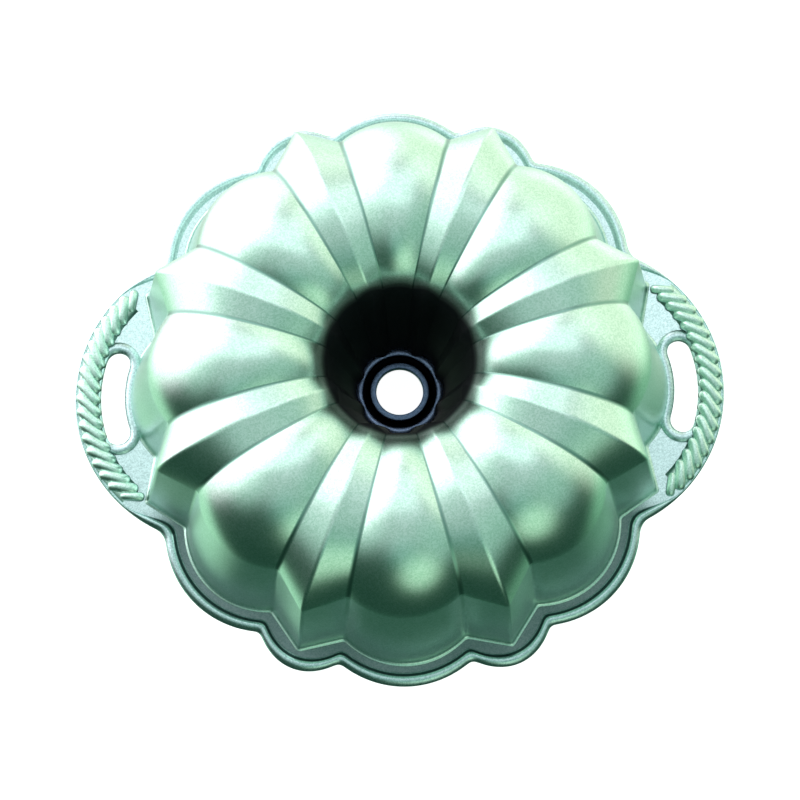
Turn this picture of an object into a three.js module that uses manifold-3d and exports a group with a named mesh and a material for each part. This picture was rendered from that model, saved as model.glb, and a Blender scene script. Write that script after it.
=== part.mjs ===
// A fluted ring cake pan, cast in aluminium in one piece and shown turned over on its rim.
// Eight round lobes take turns with eight pointed ridges around a tapered centre tube.
// Millimetres, +Z up. The origin is on the centre line, in the plane of the rim's underside.
// The casting is divided at its natural borders into regions, one mesh each.
import * as THREE from "three";
import { mergeVertices } from "three/addons/utils/BufferGeometryUtils.js";
import Module from "manifold-3d";

// ---- driving dimensions ----
const gap = 0.35; // left between neighbouring regions
const wall = 3.8; // thickness of the cast shell

const fluteCount = 8;
const lobeSteps = 6; // facets across one round lobe

// The fluted wall where it meets the rim ledge
const footRadius = 126; // at the middle of a lobe
const footRidgeRise = 2; // a ridge's crest stands out beyond the lobes
const footValleyDepth = 8.7; // the creases beside a ridge lie inside the lobes
const footRidgeHalfAngle = 8.77; // degrees, from a ridge's crest to its crease

// The sharp belt line where the steep skirt turns into the crown
const beltHeight = 74.9;
const skirtDraft = 17.6; // how much narrower the lobes are at the belt than at the rim
const beltRidgeRise = 5.3;
const beltValleyDepth = 6.2;
const beltRidgeHalfAngle = 9.02;

// The crown, an arch from the belt to the throat of the centre tube
const apexRadius = 68;
const crownRise = 30.6; // top of a lobe above the belt
const crownRidgeDrop = 1.5; // a ridge's crest is this much lower than the lobes
const crownValleyDrop = 4;
const outerArchRows = 5; // facets from the belt up to the apex
const innerArchRows = 5; // facets from the apex down to the throat

// The centre tube
const throatRadius = 30.5;
const throatDepth = 27.5; // below the top of the crown
const throatRidgeRise = 2; // towards the centre line
const throatValleyDepth = 0.5; // away from the centre line
const tubeEndRidgeRise = 2.2;
const tubeEndValleyDepth = -0.4; // the lobes bow outward here, beyond the creases
const tubeEndHeight = 1; // above the plane that the pan stands on
const tubeRows = 2; // facets from the throat down to the tube's end

// The floor of the tube, with a round groove about the collar of its through hole
const holeRadius = 10.9;
const collarWidth = 2.9;
const collarHeight = 4;
const grooveWidth = 3;
const grooveFloor = 1.5;
const endPlateHeight = 4;
const collarSides = 48; // facets round the collar

// The rim: a flat ledge and a rounded bead along its outer edge
const rimThickness = 3;
const rimWidth = { lobe: 10.1, valley: 11.1, ridge: 9 }; // from the wall to the outer edge
const beadWidth = 6.3;
const beadHeight = 5.3;
const rimStep = 3.2; // degrees between sections of the ledge and the bead, at most
const leastStep = 0.0002; // radians, so that no two sections coincide

// The handles: a D-shaped plate beyond the rim, with a curved finger slot
const slotLedge = 2.45; // from the wall to the slot
const slotWidth = 11.5;
const slotHalfAngle = 18.3; // degrees about the handle's centre, to the centre of each round end
const gripWidth = 12; // from the slot to the handle's outer edge
const handleRadius = 69; // of the outer edge
const slotBeadWidth = 4.7; // at the slot's ends
const slotBeadGripWidth = 2; // on the grip's side, where the rope covers the rest
const slotBeadHeight = 2.2; // above the plate
const slotBeadFacets = 6; // along each arc of the slot's outline
const plateFacets = 12; // along each arc of a plate's outline
const cutterSides = 96; // facets of the round solids that trim the bead and the rope

// The twisted rope in relief along the outside of each handle
const ropeWidth = 11.3;
const ropeInset = 1; // of the rope's outer side from the handle's edge
const ropeHeight = 4.2; // above the plate
const strandPitch = 6.1; // about this far from one strand to the next
const ropeEndGap = 1.1; // from each end of the rope to the ridge beside it
const ropeSkew = 1.34; // run along the rope for each millimetre across it
const ropeGroove = 0.76; // height in a groove, as a share of the full height
const ropeTaper = 11; // length of each rounded end
const ropeTip = 0.12; // width of its blunt tip, as a share of the rope's width
const strandEdge = 0.3; // of the pitch, from a groove to the strand's full height
const plateMargin = 0.5; // from the rope's end to the end of the handle's plate

// ---- colours ----
const castSilver = new THREE.MeshStandardMaterial({ color: 0x8fb5a0, roughness: 0.38, metalness: 0.85 });
const satinRim = new THREE.MeshStandardMaterial({ color: 0xb4c6cf, roughness: 0.45, metalness: 0.8 });
const ropeSilver = new THREE.MeshStandardMaterial({ color: 0xa9c9bd, roughness: 0.4, metalness: 0.8 });
const darkTube = new THREE.MeshStandardMaterial({ color: 0x2c3336, roughness: 0.5, metalness: 0.7 });

// ---- solids ----
const wasm = await Module();
wasm.setup();

function toSolid(geometry) {
  const bare = geometry.clone();
  bare.deleteAttribute("normal");
  bare.deleteAttribute("uv");
  const merged = mergeVertices(bare, 1e-4);
  return new wasm.Manifold(
    new wasm.Mesh({
      numProp: 3,
      vertProperties: merged.attributes.position.array,
      triVerts: new Uint32Array(merged.index.array),
    }),
  );
}

function toGeometry(solid) {
  const mesh = solid.getMesh();
  const geometry = new THREE.BufferGeometry();
  geometry.setAttribute("position", new THREE.BufferAttribute(mesh.vertProperties, 3));
  geometry.setIndex(new THREE.BufferAttribute(mesh.triVerts, 1));
  geometry.computeVertexNormals();
  return geometry;
}

// Six times the volume that the triangles enclose: negative when they face inward.
function signedVolume(points, index) {
  const normal = new THREE.Vector3();
  let sum = 0;
  for (let i = 0; i < index.length; i += 3) {
    normal.crossVectors(points[index[i + 1]], points[index[i + 2]]);
    sum += points[index[i]].dot(normal);
  }
  return sum;
}

// A closed skin over a row of outlines with equal counts of points.
// In a ring the last outline joins the first, and an open row gets flat ends.
function loft(outlines, isRing) {
  const around = outlines[0].length;
  const spans = isRing ? outlines.length : outlines.length - 1;
  const points = outlines.flat();
  const index = [];
  for (let i = 0; i < spans; i++) {
    const here = i * around;
    const next = ((i + 1) % outlines.length) * around;
    for (let j = 0; j < around; j++) {
      const k = (j + 1) % around;
      index.push(here + j, next + j, here + k, here + k, next + j, next + k);
    }
  }
  if (!isRing) {
    const last = spans * around;
    for (let j = 1; j < around - 1; j++) {
      index.push(0, j, j + 1);
      index.push(last, last + j + 1, last + j);
    }
  }
  if (signedVolume(points, index) < 0) index.reverse();
  const geometry = new THREE.BufferGeometry().setFromPoints(points);
  geometry.setIndex(index);
  geometry.computeVertexNormals();
  return geometry;
}

const radians = THREE.MathUtils.degToRad;

function polar(radius, angle, height) {
  return new THREE.Vector3(radius * Math.cos(angle), radius * Math.sin(angle), height);
}

// ---- flutes ----
const flutePitch = (2 * Math.PI) / fluteCount;
const ridgeAngle = flutePitch / 2; // from the middle of a lobe to the next ridge's crest

// One level of the fluted wall: radius and height on the lobes, in the creases and on the crests.
function level(lobe, valley, ridge, halfAngle) {
  return { lobe, valley, ridge, halfAngle };
}

const foot = level(
  { r: footRadius, z: 0 },
  { r: footRadius - footValleyDepth, z: 0 },
  { r: footRadius + footRidgeRise, z: 0 },
  radians(footRidgeHalfAngle),
);

const beltRadius = footRadius - skirtDraft;
const belt = level(
  { r: beltRadius, z: beltHeight },
  { r: beltRadius - beltValleyDepth, z: beltHeight },
  { r: beltRadius + beltRidgeRise, z: beltHeight },
  radians(beltRidgeHalfAngle),
);

const apexHeight = beltHeight + crownRise;
const apex = level(
  { r: apexRadius, z: apexHeight },
  { r: apexRadius, z: apexHeight - crownValleyDrop },
  { r: apexRadius, z: apexHeight - crownRidgeDrop },
);

const throatHeight = apexHeight - throatDepth;
const throat = level(
  { r: throatRadius, z: throatHeight },
  { r: throatRadius + throatValleyDepth, z: throatHeight },
  { r: throatRadius - throatRidgeRise, z: throatHeight },
  ridgeAngle / 2,
);

// The tube's end is as wide as its floor needs: the hole, the collar and the groove round it.
const grooveInner = holeRadius + collarWidth + gap;
const grooveOuter = grooveInner + grooveWidth;
const tubeEndRadius = grooveOuter + gap + tubeEndRidgeRise;

const tubeEnd = level(
  { r: tubeEndRadius, z: tubeEndHeight },
  { r: tubeEndRadius + tubeEndValleyDepth, z: tubeEndHeight },
  { r: tubeEndRadius - tubeEndRidgeRise, z: tubeEndHeight },
  ridgeAngle / 2,
);

function lifted(source, height) {
  const at = (p) => ({ r: p.r, z: height });
  return level(at(source.lobe), at(source.valley), at(source.ridge), source.halfAngle);
}

function between(a, b, t) {
  const mix = (p, q) => ({ r: p.r + (q.r - p.r) * t, z: p.z + (q.z - p.z) * t });
  const halfAngle = a.halfAngle + (b.halfAngle - a.halfAngle) * t;
  return level(mix(a.lobe, b.lobe), mix(a.valley, b.valley), mix(a.ridge, b.ridge), halfAngle);
}

// The ridges widen from the belt to the throat, in step with the radius of their creases.
function crownHalfAngle(radius) {
  const share = (belt.valley.r - radius) / (belt.valley.r - throat.valley.r);
  return belt.halfAngle + (throat.halfAngle - belt.halfAngle) * share * share;
}

// A round arc from the belt up to the apex, level at the apex. t runs from 0 to 1.
function outerArch(from, top, t) {
  const run = from.r - top.r;
  const rise = top.z - from.z;
  const radius = (run * run + rise * rise) / (2 * rise);
  const angle = Math.atan2(run, radius - rise) * (1 - t);
  return { r: top.r + radius * Math.sin(angle), z: top.z - radius * (1 - Math.cos(angle)) };
}

// A quarter of an ellipse from the apex down to the throat.
function innerArch(top, end, t) {
  const angle = (Math.PI / 2) * t;
  return {
    r: top.r - (top.r - end.r) * Math.sin(angle),
    z: end.z + (top.z - end.z) * Math.cos(angle),
  };
}

function archLevel(arch, a, b, t) {
  const valley = arch(a.valley, b.valley, t);
  return level(arch(a.lobe, b.lobe, t), valley, arch(a.ridge, b.ridge, t), crownHalfAngle(valley.r));
}

// All levels of the outer face, from the rim over the crown and down the tube.
const levels = [foot, lifted(foot, rimThickness), belt];
const beltRow = levels.length - 1;
for (let i = 1; i <= outerArchRows; i++) levels.push(archLevel(outerArch, belt, apex, i / outerArchRows));
for (let i = 1; i <= innerArchRows; i++) levels.push(archLevel(innerArch, apex, throat, i / innerArchRows));
const throatRow = levels.length - 1;
for (let i = 1; i <= tubeRows; i++) levels.push(between(throat, tubeEnd, i / tubeRows));
const tubeEndRow = levels.length - 1;

// The points of one level all round: per flute a crest, a crease, the lobe's facets and a crease.
function ringOf(source, clearance = 0) {
  const grow = (r) => r + clearance;
  const points = [];
  for (let flute = 0; flute < fluteCount; flute++) {
    const middle = flute * flutePitch;
    const creaseAngle = ridgeAngle - source.halfAngle;
    points.push(polar(grow(source.ridge.r), middle - ridgeAngle, source.ridge.z));
    for (let step = 0; step <= lobeSteps; step++) {
      const x = (2 * step) / lobeSteps - 1;
      const bulge = 1 - x * x;
      const r = source.valley.r + (source.lobe.r - source.valley.r) * bulge;
      const z = source.valley.z + (source.lobe.z - source.valley.z) * bulge;
      points.push(polar(grow(r), middle + x * creaseAngle, z));
    }
  }
  return points;
}

const outerFace = levels.map((source) => ringOf(source));
const columns = outerFace[0].length;

// The directions of the faces that meet at a point of the outer face, pointing out of the metal.
function facesAt(row, column) {
  const here = outerFace[row][column];
  const faces = [];
  for (const up of [-1, 1]) {
    const above = outerFace[row + up];
    if (!above) continue;
    for (const side of [-1, 1]) {
      const beside = outerFace[row][(column + side + columns) % columns];
      const along = above[column].clone().sub(here);
      const across = beside.clone().sub(here);
      const normal = across.cross(along).normalize();
      faces.push(normal.multiplyScalar(up * side));
    }
  }
  return faces;
}

// The inner face: each point set back so that all its faces lie one wall's thickness deep.
const innerFace = outerFace.map((ring, row) =>
  ring.map((point, column) => {
    const faces = facesAt(row, column);
    const mean = new THREE.Vector3();
    for (const face of faces) mean.add(face);
    mean.normalize();
    const lean = faces.reduce((sum, face) => sum + face.dot(mean), 0) / faces.length;
    return point.clone().addScaledVector(mean, -wall / lean);
  }),
);

// A band of the shell between two rows, shortened by half a gap at each end it shares.
function shellBand(firstRow, lastRow, sharesFirst, sharesLast) {
  const outlines = [];
  const slide = (face, row, towards, column) => {
    const step = face[towards][column].clone().sub(face[row][column]).setLength(gap / 2);
    return face[row][column].clone().add(step);
  };
  for (let column = 0; column < columns; column++) {
    const sides = [outerFace, innerFace].map((face) => {
      const side = [];
      for (let row = firstRow; row <= lastRow; row++) side.push(face[row][column].clone());
      if (sharesFirst) side[0] = slide(face, firstRow, firstRow + 1, column);
      if (sharesLast) side[side.length - 1] = slide(face, lastRow, lastRow - 1, column);
      return side;
    });
    outlines.push([...sides[0], ...sides[1].reverse()]);
  }
  return loft(outlines, true);
}

// ---- the floor of the tube ----
function tubeLevelAt(height) {
  return between(tubeEnd, throat, (height - tubeEndHeight) / (throatHeight - tubeEndHeight));
}

function tubeEndPlate() {
  const low = tubeEndHeight;
  const high = tubeEndHeight + endPlateHeight;
  const lowRing = ringOf(lifted(tubeLevelAt(low), low), -gap);
  const highRing = ringOf(lifted(tubeLevelAt(high), high), -gap);
  const outlines = lowRing.map((lowPoint, i) => {
    const angle = Math.atan2(lowPoint.y, lowPoint.x);
    return [
      polar(grooveInner, angle, low),
      polar(grooveInner, angle, low + grooveFloor),
      polar(grooveOuter, angle, low + grooveFloor),
      polar(grooveOuter, angle, high),
      highRing[i],
      lowPoint,
    ];
  });
  return loft(outlines, true);
}

function tubeEndCollar() {
  const outer = holeRadius + collarWidth;
  const low = tubeEndHeight;
  const high = tubeEndHeight + collarHeight;
  const profile = [
    new THREE.Vector2(holeRadius, low),
    new THREE.Vector2(outer, low),
    new THREE.Vector2(outer, high),
    new THREE.Vector2(holeRadius, high),
    new THREE.Vector2(holeRadius, low),
  ];
  return new THREE.LatheGeometry(profile, collarSides).rotateX(Math.PI / 2);
}

// ---- the rim ----
// The angle from the middle of the nearest lobe, 0 to ridgeAngle.
function angleInFlute(angle) {
  const turned = THREE.MathUtils.euclideanModulo(angle + ridgeAngle, flutePitch) - ridgeAngle;
  return Math.abs(turned);
}

// The radius of the fluted wall's foot at any angle.
function footRadiusAt(angle) {
  const a = angleInFlute(angle);
  const crease = ridgeAngle - foot.halfAngle;
  if (a < crease) return foot.valley.r + (foot.lobe.r - foot.valley.r) * (1 - (a / crease) ** 2);
  const chord = foot.valley.r * foot.ridge.r * Math.sin(foot.halfAngle);
  const fromCrease = foot.valley.r * Math.sin(a - crease);
  return chord / (fromCrease + foot.ridge.r * Math.sin(ridgeAngle - a));
}

// The rim's outer edge follows the wall's foot, with rounder ridges.
function rimRadiusAt(angle) {
  const a = angleInFlute(angle);
  const crease = ridgeAngle - foot.halfAngle;
  const notch = foot.valley.r + rimWidth.valley;
  const lobe = foot.lobe.r + rimWidth.lobe;
  const ridge = foot.ridge.r + rimWidth.ridge;
  if (a < crease) return notch + (lobe - notch) * (1 - (a / crease) ** 2);
  return notch + (ridge - notch) * (1 - ((ridgeAngle - a) / foot.halfAngle) ** 2);
}

// ---- handle layout, for the handle on the +X side ----
const slotInner = foot.lobe.r + slotLedge;
const handleReach = slotInner + slotWidth + gripWidth;
const handleCentre = handleReach - handleRadius; // on the X axis; the handle's curves are round about it
const slotRadius = handleRadius - gripWidth - slotWidth / 2;
const slotEnd = radians(slotHalfAngle);
const ropeOuter = handleRadius - ropeInset;
const ropeRadius = ropeOuter - ropeWidth / 2;

// The angle about the handle's centre where the flank of the ridge beside it crosses a radius.
function flankAngleAt(radius) {
  const crest = polar(foot.ridge.r, ridgeAngle, 0).sub(aboutHandle(0, 0, 0));
  const crease = polar(foot.valley.r, ridgeAngle - foot.halfAngle, 0).sub(aboutHandle(0, 0, 0));
  const along = crease.clone().sub(crest);
  const lean = crest.dot(along) / along.lengthSq();
  const excess = (crest.lengthSq() - radius ** 2) / along.lengthSq();
  const share = THREE.MathUtils.clamp(-lean - Math.sqrt(lean ** 2 - excess), 0, 1);
  const crossing = crest.addScaledVector(along, share);
  return Math.atan2(crossing.y, crossing.x);
}

// The rope is as long as fits between the two ridges beside the handle.
// Off its middle line, each slanted and rounded end reaches further than on it.
const ropeSlant = (ropeSkew * ropeWidth) / 2;
const slantedEnd = Math.hypot(ropeTaper, ropeSlant);
const furthestRadius = ropeRadius - ((ropeWidth / 2) * ropeSlant) / slantedEnd;
const ropeReach = ropeRadius * flankAngleAt(furthestRadius) - ropeEndGap;
const ropeLength = 2 * (ropeReach - slantedEnd + ropeTaper);

function aboutHandle(radius, angle, height) {
  return polar(radius, angle, height).add(new THREE.Vector3(handleCentre, 0, 0));
}

// The rim's ledge and bead stop where the handle's plate begins, just past the end of the rope.
const ropeCorner = aboutHandle(ropeOuter, ropeReach / ropeRadius, 0);
const handleEdge = Math.atan2(ropeCorner.y, ropeCorner.x) + plateMargin / ropeCorner.length();

function handleOutlineAt(angle) {
  const across = handleCentre * Math.sin(angle);
  return handleCentre * Math.cos(angle) + Math.sqrt(handleRadius ** 2 - across ** 2);
}

// The rim's outer edge with both handles in place: beside each it runs on along the handle's outline,
// where the wall leaves room for it.
function rimEdgeAt(angle) {
  const fromHandle = Math.min(angle, Math.PI - angle);
  const edge = rimRadiusAt(angle);
  if (fromHandle > ridgeAngle + foot.halfAngle) return edge;
  const notch = foot.valley.r + rimWidth.valley;
  const narrowest = footRadiusAt(angle) + rimWidth.ridge;
  return Math.max(notch, narrowest, Math.min(edge, handleOutlineAt(fromHandle)));
}

// The angles between two limits where the wall's outline bends, with both limits.
function outlineAngles(first, last) {
  const crease = ridgeAngle - foot.halfAngle;
  const angles = [];
  for (let flute = -1; flute <= fluteCount / 2 + 1; flute++) {
    const middle = flute * flutePitch;
    for (let step = 0; step <= lobeSteps; step++) angles.push(middle + crease * ((2 * step) / lobeSteps - 1));
    angles.push(middle + ridgeAngle);
  }
  const inside = angles.filter((angle) => angle > first + leastStep && angle < last - leastStep);
  return [first, ...inside, last];
}

// The angles of one side of the rim, from one handle's plate to the other's, with no long facets.
function rimAngles() {
  const clear = gap / 2 / foot.lobe.r;
  const bends = outlineAngles(handleEdge + clear, Math.PI - handleEdge - clear);
  const angles = [bends[0]];
  for (let i = 1; i < bends.length; i++) {
    const span = bends[i] - bends[i - 1];
    const parts = Math.ceil(span / radians(rimStep));
    for (let part = 1; part <= parts; part++) angles.push(bends[i - 1] + (span * part) / parts);
  }
  return angles;
}

function rimLedge() {
  const outlines = rimAngles().map((angle) => {
    const inner = footRadiusAt(angle) + gap;
    const outer = rimEdgeAt(angle) - beadWidth - gap;
    return [
      polar(inner, angle, 0),
      polar(outer, angle, 0),
      polar(outer, angle, rimThickness),
      polar(inner, angle, rimThickness),
    ];
  });
  return loft(outlines, false);
}

// The bead's section, as shares of its width from the outer edge inward and of its height.
const beadSection = [
  [0, 0],
  [0, 0.38],
  [0.1, 0.68],
  [0.26, 0.92],
  [0.46, 1],
  [0.68, 0.92],
  [0.86, 0.74],
  [1, 0.55],
  [1, 0],
];

function rimBead() {
  const outlines = rimAngles().map((angle) =>
    beadSection.map(([inward, height]) =>
      polar(rimEdgeAt(angle) - inward * beadWidth, angle, height * beadHeight),
    ),
  );
  return loft(outlines, false);
}

// ---- the handle on the +X side ----
// The curved slot's outline, grown by an offset: two arcs about the handle's centre and two round ends.
function slotShape(offset) {
  const half = slotWidth / 2 + offset;
  const shape = new THREE.Shape();
  const endAt = (angle) => aboutHandle(slotRadius, angle, 0);
  const top = endAt(slotEnd);
  const bottom = endAt(-slotEnd);
  shape.absarc(handleCentre, 0, slotRadius + half, -slotEnd, slotEnd, false);
  shape.absarc(top.x, top.y, half, slotEnd, slotEnd + Math.PI, false);
  shape.absarc(handleCentre, 0, slotRadius - half, slotEnd, -slotEnd, true);
  shape.absarc(bottom.x, bottom.y, half, Math.PI - slotEnd, 2 * Math.PI - slotEnd, false);
  return shape;
}

// A prism of a shape, from one height to another.
function prism(shape, low, high, curveSegments) {
  const options = { depth: high - low, bevelEnabled: false, curveSegments };
  return new THREE.ExtrudeGeometry(shape, options).translate(0, 0, low);
}

// A round solid about the handle's centre, from below the rim up.
function discAboutHandle(radius, high) {
  const disc = new THREE.CylinderGeometry(radius, radius, 2 * high, cutterSides).rotateX(Math.PI / 2);
  return toSolid(disc.translate(handleCentre, 0, 0));
}

function handlePlate() {
  const edge = handleEdge - gap / 2 / foot.lobe.r;
  const corner = polar(handleOutlineAt(edge), edge, 0);
  const cornerAngle = Math.atan2(corner.y, corner.x - handleCentre);
  const shape = new THREE.Shape();
  shape.absarc(handleCentre, 0, handleRadius, -cornerAngle, cornerAngle, false);
  for (const angle of outlineAngles(-edge, edge).reverse()) {
    const point = polar(footRadiusAt(angle) + gap, angle, 0);
    shape.lineTo(point.x, point.y);
  }
  shape.closePath();
  shape.holes.push(slotShape(0));
  return prism(shape, 0, rimThickness, plateFacets);
}

// The section of the bead about the slot, as shares of its width outward and of its height.
const slotBeadSection = [
  [0, 0],
  [0, 0.42],
  [0.2, 0.85],
  [0.48, 1],
  [0.78, 0.76],
  [1, 0.2],
  [1, 0],
];

const slotBeadBase = rimThickness + gap;

function slotBead() {
  const path = slotShape(0).getPoints(slotBeadFacets);
  path.pop();
  const outlines = path.map((point, i) => {
    const before = path[(i - 1 + path.length) % path.length];
    const after = path[(i + 1) % path.length];
    const along = after.clone().sub(before).normalize();
    const outward = new THREE.Vector2(along.y, -along.x);
    return slotBeadSection.map(([across, height]) => {
      const place = point.clone().addScaledVector(outward, across * slotBeadWidth);
      return new THREE.Vector3(place.x, place.y, slotBeadBase + height * slotBeadHeight);
    });
  });
  const bead = toSolid(loft(outlines, true));
  const high = slotBeadBase + 2 * slotBeadHeight;
  const gripSide = handleRadius - gripWidth + slotBeadGripWidth;
  return toGeometry(bead.intersect(discAboutHandle(gripSide, high)).subtract(footPrint(high)));
}

// The ground that the fluted wall covers at its foot, with its clearance, as a solid from below the rim up.
function footPrint(high) {
  const shape = new THREE.Shape(ringOf(foot, gap).map((point) => new THREE.Vector2(point.x, point.y)));
  return toSolid(prism(shape, -high, high, 1));
}

function ropeSection(along, share) {
  const fromEnd = ropeLength / 2 - Math.abs(along);
  const rounding = Math.min(1, Math.max(0, 1 - fromEnd / ropeTaper));
  const taper = Math.max(ropeTip, Math.sqrt(1 - rounding * rounding));
  const half = (ropeWidth / 2) * taper;
  const points = [];
  for (const across of [-1, -0.85, -0.5, 0, 0.5, 0.85, 1]) {
    const radius = ropeRadius + across * half;
    const angle = (along - ropeSkew * across * half) / ropeRadius;
    const height = ropeHeight * share * taper * Math.sqrt(1 - across * across);
    points.push(aboutHandle(radius, angle, slotBeadBase + height));
  }
  return points;
}

// Strands lie side by side along the grip, a low groove between each two.
function ropeGrip() {
  const strandCount = Math.round(ropeLength / strandPitch);
  const pitch = ropeLength / strandCount;
  const outlines = [];
  for (let strand = 0; strand < strandCount; strand++) {
    const start = -ropeLength / 2 + strand * pitch;
    outlines.push(ropeSection(start, ropeGroove));
    outlines.push(ropeSection(start + strandEdge * pitch, 1));
    outlines.push(ropeSection(start + (1 - strandEdge) * pitch, 1));
  }
  outlines.push(ropeSection(ropeLength / 2, ropeGroove));
  const rope = toSolid(loft(outlines, false));
  const high = slotBeadBase + 2 * ropeHeight;
  const gripSide = handleRadius - gripWidth + slotBeadGripWidth + gap;
  const beadRoom = toSolid(prism(slotShape(slotBeadWidth + gap), 0, high, plateFacets));
  return toGeometry(rope.subtract(beadRoom.intersect(discAboutHandle(gripSide, high))));
}

// ---- the pan ----
const pan = new THREE.Group();

function add(parent, name, geometry, material) {
  const mesh = new THREE.Mesh(geometry, material);
  mesh.name = name;
  parent.add(mesh);
}

add(pan, "fluted_skirt", shellBand(0, beltRow, false, true), castSilver);
add(pan, "fluted_crown", shellBand(beltRow, throatRow, true, true), castSilver);
add(pan, "centre_tube", shellBand(throatRow, tubeEndRow, true, false), darkTube);
add(pan, "tube_end_plate", tubeEndPlate(), darkTube);
add(pan, "tube_end_collar", tubeEndCollar(), satinRim);

for (const side of ["rear", "front"]) {
  const half = new THREE.Group();
  half.rotation.z = side === "rear" ? 0 : Math.PI;
  add(half, side + "_rim_ledge", rimLedge(), satinRim);
  add(half, side + "_rim_bead", rimBead(), satinRim);
  pan.add(half);
}

for (const side of ["right", "left"]) {
  const handle = new THREE.Group();
  handle.rotation.z = side === "right" ? 0 : Math.PI;
  add(handle, side + "_handle_plate", handlePlate(), satinRim);
  add(handle, side + "_slot_bead", slotBead(), satinRim);
  add(handle, side + "_rope_grip", ropeGrip(), ropeSilver);
  pan.add(handle);
}

export default pan;
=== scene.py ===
# A fluted ring cake pan of cast aluminium, turned over on its rim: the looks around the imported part.
import math
import bpy
import bmesh
from mathutils import Matrix, Vector


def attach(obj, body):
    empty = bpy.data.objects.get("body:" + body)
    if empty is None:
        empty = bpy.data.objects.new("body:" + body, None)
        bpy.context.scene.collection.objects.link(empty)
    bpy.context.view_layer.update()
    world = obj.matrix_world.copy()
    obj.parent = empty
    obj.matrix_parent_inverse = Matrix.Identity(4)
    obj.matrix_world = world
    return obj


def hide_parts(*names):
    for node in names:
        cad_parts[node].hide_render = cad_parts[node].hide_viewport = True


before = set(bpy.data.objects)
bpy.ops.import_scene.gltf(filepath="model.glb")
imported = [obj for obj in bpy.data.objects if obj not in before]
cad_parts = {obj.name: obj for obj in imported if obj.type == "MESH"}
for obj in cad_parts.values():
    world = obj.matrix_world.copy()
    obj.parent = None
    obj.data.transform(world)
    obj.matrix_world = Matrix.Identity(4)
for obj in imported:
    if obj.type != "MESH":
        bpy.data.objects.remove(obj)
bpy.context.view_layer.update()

mm = 0.001  # shapes are worked out in millimetres and made in metres

# Where the camera stands and what it takes in.
cameraLook = {
    "elevation": 80.38,   # degrees above the table
    "azimuth": 1.12,      # degrees, the way it faces, from +Y towards +X
    "distance": 0.8762,   # from the middle of the rim's plane
    "roll": -0.18,
    "lens": 84.03,
    "shiftX": 0.0004,
    "shiftY": -0.0084,
}


def makeCamera():
    up, aside = math.radians(cameraLook["elevation"]), math.radians(cameraLook["azimuth"])
    back = Vector((-math.sin(aside) * math.cos(up), -math.cos(aside) * math.cos(up), math.sin(up)))
    right = Vector((math.cos(aside), -math.sin(aside), 0))
    turn = Matrix((right, back.cross(right), back)).transposed()
    turn = turn @ Matrix.Rotation(math.radians(cameraLook["roll"]), 3, "Z")
    data = bpy.data.cameras.new("camera")
    data.sensor_width = 36
    data.lens = cameraLook["lens"]
    data.shift_x = cameraLook["shiftX"]
    data.shift_y = cameraLook["shiftY"]
    camera = bpy.data.objects.new("camera", data)
    camera.matrix_world = Matrix.Translation(back * cameraLook["distance"]) @ turn.to_4x4()
    bpy.context.scene.collection.objects.link(camera)
    bpy.context.scene.camera = camera


makeCamera()
print("camera placed")


def addObject(name, mesh):
    piece = bpy.data.objects.new(name, mesh)
    bpy.context.scene.collection.objects.link(piece)
    return piece


# A mesh of points in millimetres, with its normals turned outward.
def makeMesh(name, points, faces, marks=None):
    mesh = bpy.data.meshes.new(name)
    mesh.from_pydata([Vector(p) * mm for p in points], [], faces)
    for mark, values in (marks or {}).items():
        mesh.attributes.new(mark, "FLOAT", "POINT").data.foreach_set("value", values)
    faceOutward(mesh)
    return mesh


# Quads between closed or open rows of points with equal counts.
def gridFaces(rowCount, columnCount, closedRows=False, closedColumns=True):
    faces = []
    for row in range(rowCount if closedRows else rowCount - 1):
        here, above = row * columnCount, ((row + 1) % rowCount) * columnCount
        for column in range(columnCount if closedColumns else columnCount - 1):
            beside = (column + 1) % columnCount
            faces.append((here + column, here + beside, above + beside, above + column))
    return faces


def finishPiece(piece, material, slotName, *nodes):
    piece.data.materials.clear()
    piece.data.materials.append(material)
    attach(piece, "root")
    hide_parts(*nodes)


def between(a, b, share):
    return a + (b - a) * share


def smoothStep(low, high, value):
    t = min(1, max(0, (value - low) / (high - low)))
    return t * t * (3 - 2 * t)


# Swaps each corner of a line of points for a small curve.
def roundCorners(points, corners, reach, steps):
    count = len(points)
    line = []
    for i, point in enumerate(points):
        if i not in corners:
            line.append(point)
            continue
        before, after = points[(i - 1) % count], points[(i + 1) % count]
        ends = []
        for other in (before, after):
            gapLength = (other - point).length
            near = min(reach, 0.45 * gapLength)  # leaves the next corner its own half
            ends.append(point.lerp(other, near / gapLength))
        ends.insert(0, ends[0].lerp(before, 0.12))
        ends.append(ends[-1].lerp(after, 0.12))
        line.append(ends[0])
        for step in range(steps + 1):
            t = step / steps
            line.append(ends[1] * (1 - t) ** 2 + point * (2 * t * (1 - t)) + ends[2] * t ** 2)
        line.append(ends[3])
    return line


# A Geometry Nodes tree with named inputs. Gives the tree, its input node and each input's identifier.
def startTree(name, inputs):
    tree = bpy.data.node_groups.new(name, "GeometryNodeTree")
    tree.interface.new_socket("Geometry", in_out="INPUT", socket_type="NodeSocketGeometry")
    identifiers = {}
    for label, kind, value in inputs:
        socket = tree.interface.new_socket(label, in_out="INPUT", socket_type=kind)
        socket.default_value = value
        identifiers[label] = socket.identifier
    tree.interface.new_socket("Geometry", in_out="OUTPUT", socket_type="NodeSocketGeometry")
    return tree, tree.nodes.new("NodeGroupInput"), identifiers


def wireMath(tree, operation, *values):
    node = tree.nodes.new("ShaderNodeMath")
    node.operation = operation
    for socket, value in zip(node.inputs, values):
        if isinstance(value, (int, float)):
            socket.default_value = value
        else:
            tree.links.new(value, socket)
    return node.outputs[0]


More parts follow.
